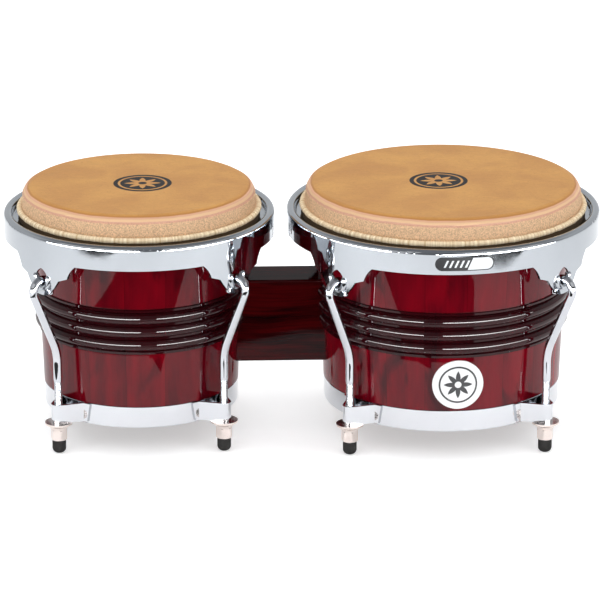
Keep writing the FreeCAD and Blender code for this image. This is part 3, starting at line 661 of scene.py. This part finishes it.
def makeSkin(drum, s):
    # section carried round the drum's axis: flat top, fold, flared collar, rolled edge, stem, turn under
    # the hoop, inner face
    a, h = drums[drum]["headR"] / mm, drumHeight / mm
    hoopZ = h - s["hoopDrop"]
    bend = (s["foldW"] ** 2 + s["foldH"] ** 2) / (2 * s["foldH"])
    cx, cz = a - s["foldW"], h - bend
    end = degrees(asin((bend - s["foldH"]) / bend))
    low = a + s["flare"]
    rollC, rollZ = low + s["rollR"] - s["rollIn"], h - s["rollDrop"]
    turnC = low + s["hoopR"]
    turnR = s["hoopR"] + s["thick"]
    # the top's rows lie closer together towards the fold
    topShare = np.concatenate([np.linspace(0, 0.55, 12), np.linspace(0.55, 1, 26)[1:]])
    topLine = np.stack([topShare * cx, np.full_like(topShare, h)], -1)
    foldArc = arcPoints(cx, cz, bend, 90, end, 22)[1:]
    collarTop = foldArc[-1]
    slope = np.linspace(0, 1, 26)[1:, None]
    collarEnd = np.array([a + s["collarEnd"][0], rollZ + s["collarEnd"][1]])
    collar = collarTop + slope * (collarEnd - collarTop)
    roll = arcPoints(rollC, rollZ, s["rollR"], *s["rollArc"], 26)
    stemLow = np.array([low + s["stemEnd"][0], hoopZ + s["stemEnd"][1]])
    stem = roll[-1] + np.linspace(0, 1, 8)[1:, None] * (stemLow - roll[-1])
    turn = arcPoints(turnC, hoopZ, turnR, *s["turnArc"], 40)[1:]
    inner = np.array([[a, hoopZ + s["innerRise"]], [a - s["innerKnee"][0], s["innerKnee"][1]],
                      [a - s["innerTop"], collarTop[1]]])
    innerArc = arcPoints(cx, cz, bend - s["thick"], end, 90, 14)
    bottom = np.stack([np.linspace(cx, 0, 10)[1:], np.full(9, h - s["thick"])], -1)
    section = np.concatenate([topLine, foldArc, collar, roll, stem, turn, inner, innerArc, bottom])
    step = np.r_[0, np.cumsum(np.linalg.norm(np.diff(section, axis=0), axis=1))]
    nTop, nFold, nRoll = len(topLine), len(foldArc), len(roll)
    outer = nTop + nFold + len(collar)
    theta = np.linspace(0, 2 * pi, s["around"], endpoint=False)
    rng = np.random.default_rng(s["seed"][drum])

    def ripple(waves, scale):
        # a periodic wobble round the drum: sum of sines with seeded phases
        k = np.array(waves)
        phase, weight = rng.uniform(0, 2 * pi, len(k)), rng.uniform(0.4, 1, len(k))
        field = (weight[:, None] * np.sin(k[:, None] * theta + phase[:, None])).sum(0)
        return field / np.abs(field).max() * scale

    r = np.repeat(section[:, :1], s["around"], 1)
    z = np.repeat(section[:, 1:], s["around"], 1)
    index = np.arange(len(section))[:, None]
    fold = np.clip((index - nTop + 1) / nFold, 0, 1) * (index < outer)
    r += fold * ripple([3, 5, 8, 13, 21], s["wobble"])
    # creases of the fold, pressed along the section's normal, with wavering places
    reach = step[:, None] - cx + ripple([4, 7, 12, 19], s["creaseWander"])
    crease = sum(deep * np.exp(-((reach - place) / width) ** 2) for deep, place, width in s["creases"])
    crease = crease * (index < outer)
    ahead = np.gradient(section, axis=0)
    ahead /= np.linalg.norm(ahead, axis=1)[:, None]
    r -= ahead[:, 1:] * crease
    z += ahead[:, :1] * crease
    # shallow dents of a hand-stretched skin, always below the highest plane
    dents = ripple([2, 3, 5, 7], 0.5) * 0.5 + 0.5
    z -= np.where(index < nTop, s["dent"] * (r / cx) ** 2 * dents, 0)
    rollPart = (index >= outer) & (index < outer + nRoll)
    knots = ripple([17, 29, 43, 61, 89], s["rollWobble"])
    across = np.stack([section[:, 0] - rollC, section[:, 1] - rollZ], -1) / s["rollR"]
    grow = knots + ripple([121, 137, 149], s["knotWobble"])
    r += np.where(rollPart, across[:, :1] * grow, 0)
    z += np.where(rollPart, across[:, 1:] * grow, 0)
    z = np.minimum(z, h)
    x = r * np.cos(theta) * mm + drums[drum]["x"]
    y = r * np.sin(theta) * mm
    grid = np.stack([x, y, z * mm], -1)
    # room for the hoop inside the turn, a closed ring facing inwards
    tube = arcPoints(turnC, hoopZ, s["hoopR"] + s["hoopGap"], 0, 360, 25)[:-1]
    cavity = np.stack([tube[:, :1] * np.cos(theta) * mm + drums[drum]["x"], tube[:, :1] * np.sin(theta) * mm,
                       np.repeat(tube[:, 1:], s["around"], 1) * mm], -1)
    piece = surfacePiece(drum + "_rawhide", [(grid, False, True), (cavity, True, True)],
                         rawhideHead(drum, hideSettings))
    mesh = piece.data
    # distance along the section, rolled edge and stem as attributes, read back by nearest section point
    co = np.zeros(len(mesh.vertices) * 3)
    mesh.vertices.foreach_get("co", co)
    co = co.reshape(-1, 3)
    rr = np.hypot(co[:, 0] - drums[drum]["x"], co[:, 1]) / mm
    zz = co[:, 2] / mm
    apart = (rr[:, None] - section[None, :, 0]) ** 2 + (zz[:, None] - section[None, :, 1]) ** 2
    best = np.argmin(apart, axis=1)
    rollEnd = outer + nRoll - s["rollTail"]
    marks = {"alongMm": step[best], "roll": (best >= outer) & (best < rollEnd), "stem": best >= rollEnd}
    for key, values in marks.items():
        mesh.attributes.new(key, "FLOAT", "POINT").data.foreach_set("value", values.astype(np.float32))
    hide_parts(drum + "_head_skin")
    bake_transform(piece)
    print("rawhide head:", drum, len(mesh.polygons), "faces")


for drum in drums:
    makeSkin(drum, skinSettings)


# Tension hooks

# Lengths in mm. The upright rod stands at the head's radius; the crook's centre is "ridge" further out
hookSettings = {"shankR": 3.175, "threadR": 2.95, "pitch": 1.0, "rowsPerTurn": 8, "threadDepth": 0.5,
                "bottom": 3.6, "threadFrom": 10.6, "threadTop": 56.0, "bendZ": 78.0, "bendR": 40.0,
                "crookR": 8.0, "crookRise": 0.3, "ridge": 14.5, "tipLen": 4.0, "around": 24}


def hookCentre(s, drum):
    # centreline in the lug's plane: upright rod, bend, leaning leg, crook over the ear, short tip
    a = drums[drum]["headR"] / mm
    cx = a + s["ridge"]
    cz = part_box(drum + "_hook_1")[1].z / mm - s["shankR"] - s["crookR"] + s["crookRise"]
    dist = sqrt((cx - a) ** 2 + (cz - s["bendZ"]) ** 2)
    lean = atan2(cx - a, cz - s["bendZ"]) + asin(s["crookR"] / dist)
    cut = s["bendR"] * abs(sin(lean) / (1 + cos(lean)))
    z1 = s["bendZ"] - cut
    bendT = np.linspace(0, lean, 14)
    bendArc = np.stack([a + s["bendR"] * (1 - np.cos(bendT)), z1 + s["bendR"] * np.sin(bendT)], -1)
    crookStart = np.array([cx + s["crookR"] * cos(lean), cz - s["crookR"] * sin(lean)])
    leg = bendArc[-1] + np.linspace(0, 1, 20)[1:-1, None] * (crookStart - bendArc[-1])
    crookT = np.linspace(-lean, pi, 40)
    crook = np.stack([cx + s["crookR"] * np.cos(crookT), cz + s["crookR"] * np.sin(crookT)], -1)
    tip = np.stack([np.full(5, cx - s["crookR"]), cz - np.linspace(0, s["tipLen"], 6)[1:]], -1)
    threadZ = np.arange(s["threadFrom"], s["threadTop"] - 0.6, s["pitch"] / s["rowsPerTurn"])
    straightZ = np.concatenate([[s["bottom"]], threadZ, np.linspace(s["threadTop"] - 0.5, z1, 16)[:-1]])
    straight = np.stack([np.full(len(straightZ), a), straightZ], -1)
    return np.concatenate([straight, bendArc, leg, crook, tip])


def makeHook(drum, k, s):
    # round rod along the centreline; in the thread the radius follows a triangular helix groove
    line = hookCentre(s, drum)
    ahead = np.gradient(line, axis=0)
    ahead /= np.linalg.norm(ahead, axis=1)[:, None]
    z = line[:, 1:]
    phi = np.linspace(0, 2 * pi, s["around"], endpoint=False)[None, :]
    # the thread stops a little short of both its ends, and its crests and roots are flattened
    thread = (z > s["threadFrom"] + 0.4) & (z < s["threadTop"] - 1.2)
    wave = np.abs(((z / s["pitch"] - phi / (2 * pi)) % 1.0) - 0.5) * 2
    plain = np.where(z < s["threadTop"] - 0.3, s["threadR"], s["shankR"])
    radius = np.where(thread, s["threadR"] - s["threadDepth"] * np.clip(wave * 1.25 - 0.12, 0, 1), plain)
    radius = np.broadcast_to(radius, (len(line), s["around"])).copy()
    # rounded ends close to a point: the foot's is (share of the radius, moved along by), the tip's is
    # (taken off the radius, moved along by)
    foot = ((0.0, 0.0), (0.7, 0.0), (0.93, 0.25))
    tip = ((0.25, 0.45), (0.75, 0.7), (radius[-1], 0.7))
    body = line.copy()
    body[0] = line[0] + ahead[0] * 0.6
    rows = np.concatenate([[line[0] + ahead[0] * push for share, push in foot], body,
                           [line[-1] + ahead[-1] * push for less, push in tip]])
    radii = np.concatenate([[radius[0] * share for share, push in foot], radius,
                            [radius[-1] - less for less, push in tip]])
    along = np.concatenate([np.repeat(ahead[:1], len(foot), 0), ahead, np.repeat(ahead[-1:], len(tip), 0)])
    # in the lug's plane, away from the drum on the upright part
    normal = np.stack([along[:, 1], -along[:, 0]], -1)
    outward = rows[:, :1] + normal[:, :1] * radii * np.cos(phi)
    upward = rows[:, 1:] + normal[:, 1:] * radii * np.cos(phi)
    sideways = radii * np.sin(phi)
    angle = lugAngles[k]
    x = (outward * cos(angle) - sideways * sin(angle)) * mm + drums[drum]["x"]
    y = (outward * sin(angle) + sideways * cos(angle)) * mm
    grid = np.stack([x, y, upward * mm], -1)[:, ::-1]
    piece = surfacePiece(drum + "_threaded_hook_" + str(k + 1), [(grid, False, True)], chromeRod)
    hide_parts(drum + "_hook_" + str(k + 1))
    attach(piece, drum + "_rim_set")


for drum in drums:
    for k in range(4):
        makeHook(drum, k, hookSettings)
print("tension hooks ready")


# Finishes of the pieces that keep their CAD shape

dress("centre_block", lacqueredBlock())
dress("shell_badge", badgeEnamel(badgeSettings))
dress("rim_label", labelPrint(labelSettings))
for drum in drums:
    dress(drum + "_shell", staves[drum])
    dress(drum + "_rim", rimChrome)
    dress(drum + "_bottom_ring", chrome)
    dress(drum + "_flesh_hoop", drawnWire)
    dress(drum + "_flange_washers", nickel)
    dress(drum + "_backing_plate", zincSteel)
    dress(drum + "_block_bolts", zincSteel)
    dress(drum + "_bolt_washers", zincSteel)
    dress(drum + "_block_inserts", turnedBrass)
    for k in range(1, 5):
        dress(drum + "_strap_" + str(k), chrome)
        dress(drum + "_nut_" + str(k), nickel)
        dress(drum + "_foot_cap_" + str(k), rubber)
print("finishes ready")
